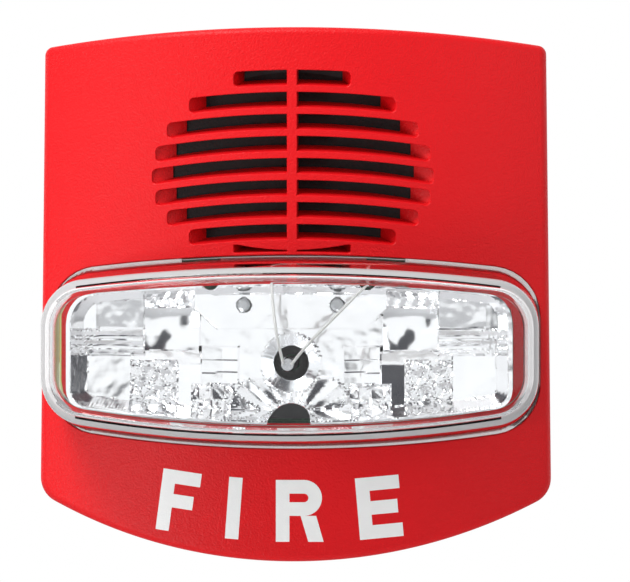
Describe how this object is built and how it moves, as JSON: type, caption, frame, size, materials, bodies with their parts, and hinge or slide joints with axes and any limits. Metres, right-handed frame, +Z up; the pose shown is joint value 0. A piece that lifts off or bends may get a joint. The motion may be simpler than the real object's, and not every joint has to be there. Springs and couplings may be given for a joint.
{
  "type": "horn strobe",
  "caption": "Wall-mounted fire alarm horn strobe: red moulded cover with a louvred horn grille over a clear-lensed flash unit on a back housing.",
  "frame": {"origin": "middle of the back housing's flat wall face", "axes": "+X to the right as seen from the room, -Y out of the wall towards the room, +Z up"},
  "size_m": [0.127, 0.068, 0.13],
  "materials": {
    "red_cover": "fine spark-eroded texture, satin",
    "screen_cloth": "fine black woven screen",
    "clear_lens": "clear polycarbonate",
    "grey_foam": "closed-cell foam",
    "mirror_finish": "vacuum-metallised",
    "grey_rivet": "plain",
    "tube_glass": "clear glass",
    "tube_metal": "plain",
    "black_rubber": "matt",
    "white_sleeve": "satin",
    "black_plastic": "fine texture",
    "green_board": "solder mask",
    "zinc_steel": "zinc plated",
    "terminal_steel": "nickel plated",
    "capacitor_sleeve": "shrink sleeve",
    "ferrite": "matt",
    "coil_tape": "tape",
    "chip_epoxy": "moulded",
    "terminal_plastic": "moulded",
    "brass": "rolled",
    "ceramic": "fired",
    "red_sleeve": "satin",
    "black_sleeve": "satin",
    "white_plastic": "satin",
    "label": "printed label"
  },
  "bodies": {
    "base": {"back_housing": "black_plastic", "circuit_board": "green_board", "board_screw_1": "zinc_steel", "board_screw_2": "zinc_steel", "board_screw_3": "zinc_steel", "board_screw_4": "zinc_steel", "strobe_carrier": "black_plastic", "reflector": "mirror_finish", "reflector_rivet_left": "grey_rivet", "reflector_rivet_right": "grey_rivet", "flash_tube": "tube_glass", "tube_front_cap": "tube_metal", "tube_rear_cap": "tube_metal", "tube_grommet": "black_rubber", "trigger_lead": "white_sleeve", "anode_lead": "white_sleeve", "lens": "clear_lens", "lens_gasket": "grey_foam", "lens_bezel": "red_cover", "lens_post_1": "black_plastic", "lens_post_2": "black_plastic", "lens_post_3": "black_plastic", "lens_post_4": "black_plastic", "flash_capacitor": "capacitor_sleeve", "charging_choke": "ferrite", "trigger_transformer": "coil_tape", "input_capacitor": "capacitor_sleeve", "processor_chip": "chip_epoxy", "terminal_block": "terminal_plastic", "horn_housing": "black_plastic", "horn_disc": "brass", "horn_ceramic": "ceramic", "horn_clamp_ring": "black_plastic", "horn_throat_cap": "black_plastic", "horn_lead_red": "red_sleeve", "horn_lead_black": "black_sleeve"},
    "cover": {"front_cover": "red_cover", "acoustic_screen": "screen_cloth"},
    "selector": {"candela_slider": "white_plastic", "candela_label": "label"},
    "latch": {"cover_latch": "black_plastic"},
    "screw_1": {"terminal_screw_1": "terminal_steel"},
    "screw_2": {"terminal_screw_2": "terminal_steel"},
    "screw_3": {"terminal_screw_3": "terminal_steel"},
    "screw_4": {"terminal_screw_4": "terminal_steel"}
  },
  "joints": [
    {"name": "cover_lift_off", "type": "slide", "parent": "base", "child": "cover", "axis": [0, -1, 0], "range_m": [0, 0.05]},
    {"name": "candela_set", "type": "slide", "parent": "base", "child": "selector", "axis": [0, 0, 1], "range_m": [-0.004, 0.002]},
    {"name": "latch_press", "type": "hinge", "parent": "base", "child": "latch", "pos_m": [0, -0.0028, 0.0607], "axis": [1, 0, 0], "range_deg": [0, 6], "stiffness_Nm_per_rad": 0.1},
    {"name": "terminal_screw_1_turn", "type": "hinge", "parent": "base", "child": "screw_1", "pos_m": [-0.015, -0.0152, -0.0407], "axis": [0, -1, 0], "continuous": true},
    {"name": "terminal_screw_2_turn", "type": "hinge", "parent": "base", "child": "screw_2", "pos_m": [-0.005, -0.0152, -0.0407], "axis": [0, -1, 0], "continuous": true},
    {"name": "terminal_screw_3_turn", "type": "hinge", "parent": "base", "child": "screw_3", "pos_m": [0.005, -0.0152, -0.0407], "axis": [0, -1, 0], "continuous": true},
    {"name": "terminal_screw_4_turn", "type": "hinge", "parent": "base", "child": "screw_4", "pos_m": [0.015, -0.0152, -0.0407], "axis": [0, -1, 0], "continuous": true}
  ]
}
